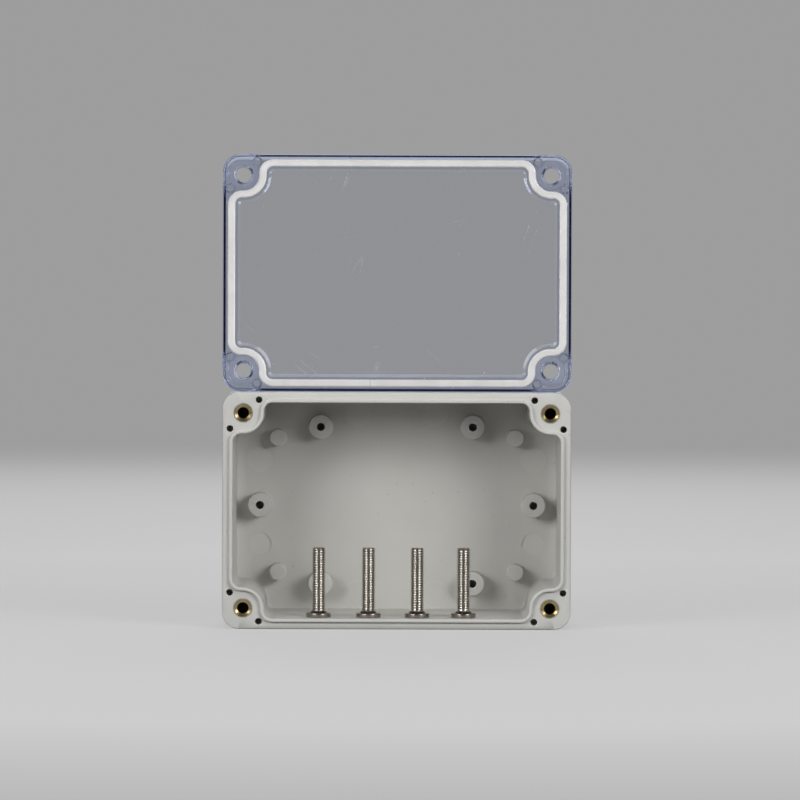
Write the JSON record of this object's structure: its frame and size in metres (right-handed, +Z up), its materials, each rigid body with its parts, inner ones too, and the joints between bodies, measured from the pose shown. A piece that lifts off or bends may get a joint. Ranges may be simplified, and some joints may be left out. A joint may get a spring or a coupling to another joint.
{
  "type": "waterproof junction box",
  "caption": "Sealed wall box for electronics: a plastic base with corner inserts and floor standoffs, and a clear screwed lid with a cord gasket, shown opened.",
  "frame": {"origin": "middle of the footprint at the height of the surface that the base's long side stands on", "axes": "+X to the right across the open face, +Z up, and -Y out of the open faces of the base and the lid"},
  "size_m": [0.1, 0.041, 0.1361],
  "materials": {
    "base_plastic": "satin",
    "clear_plastic": "gloss",
    "seal": "matte",
    "insert_brass": "satin",
    "screw_steel": "polished"
  },
  "bodies": {
    "base": {"enclosure_base": "base_plastic", "insert_top_left": "insert_brass", "insert_top_right": "insert_brass", "insert_bottom_left": "insert_brass", "insert_bottom_right": "insert_brass"},
    "lid": {"clear_lid": "clear_plastic", "lid_gasket": "seal"},
    "screw_1": {"lid_screw_1": "screw_steel"},
    "screw_2": {"lid_screw_2": "screw_steel"},
    "screw_3": {"lid_screw_3": "screw_steel"},
    "screw_4": {"lid_screw_4": "screw_steel"}
  },
  "joints": [
    {"name": "lid_turn", "type": "hinge", "parent": "base", "child": "lid", "pos_m": [0, -0.01972, 0.06805], "axis": [1, 0, 0], "range_deg": [0, 180]},
    {"name": "screw_1_lift", "type": "slide", "parent": "base", "child": "screw_1", "axis": [0, -1, 0], "range_m": [0, 0.06]},
    {"name": "screw_2_lift", "type": "slide", "parent": "base", "child": "screw_2", "axis": [0, -1, 0], "range_m": [0, 0.06]},
    {"name": "screw_3_lift", "type": "slide", "parent": "base", "child": "screw_3", "axis": [0, -1, 0], "range_m": [0, 0.06]},
    {"name": "screw_4_lift", "type": "slide", "parent": "base", "child": "screw_4", "axis": [0, -1, 0], "range_m": [0, 0.06]}
  ]
}
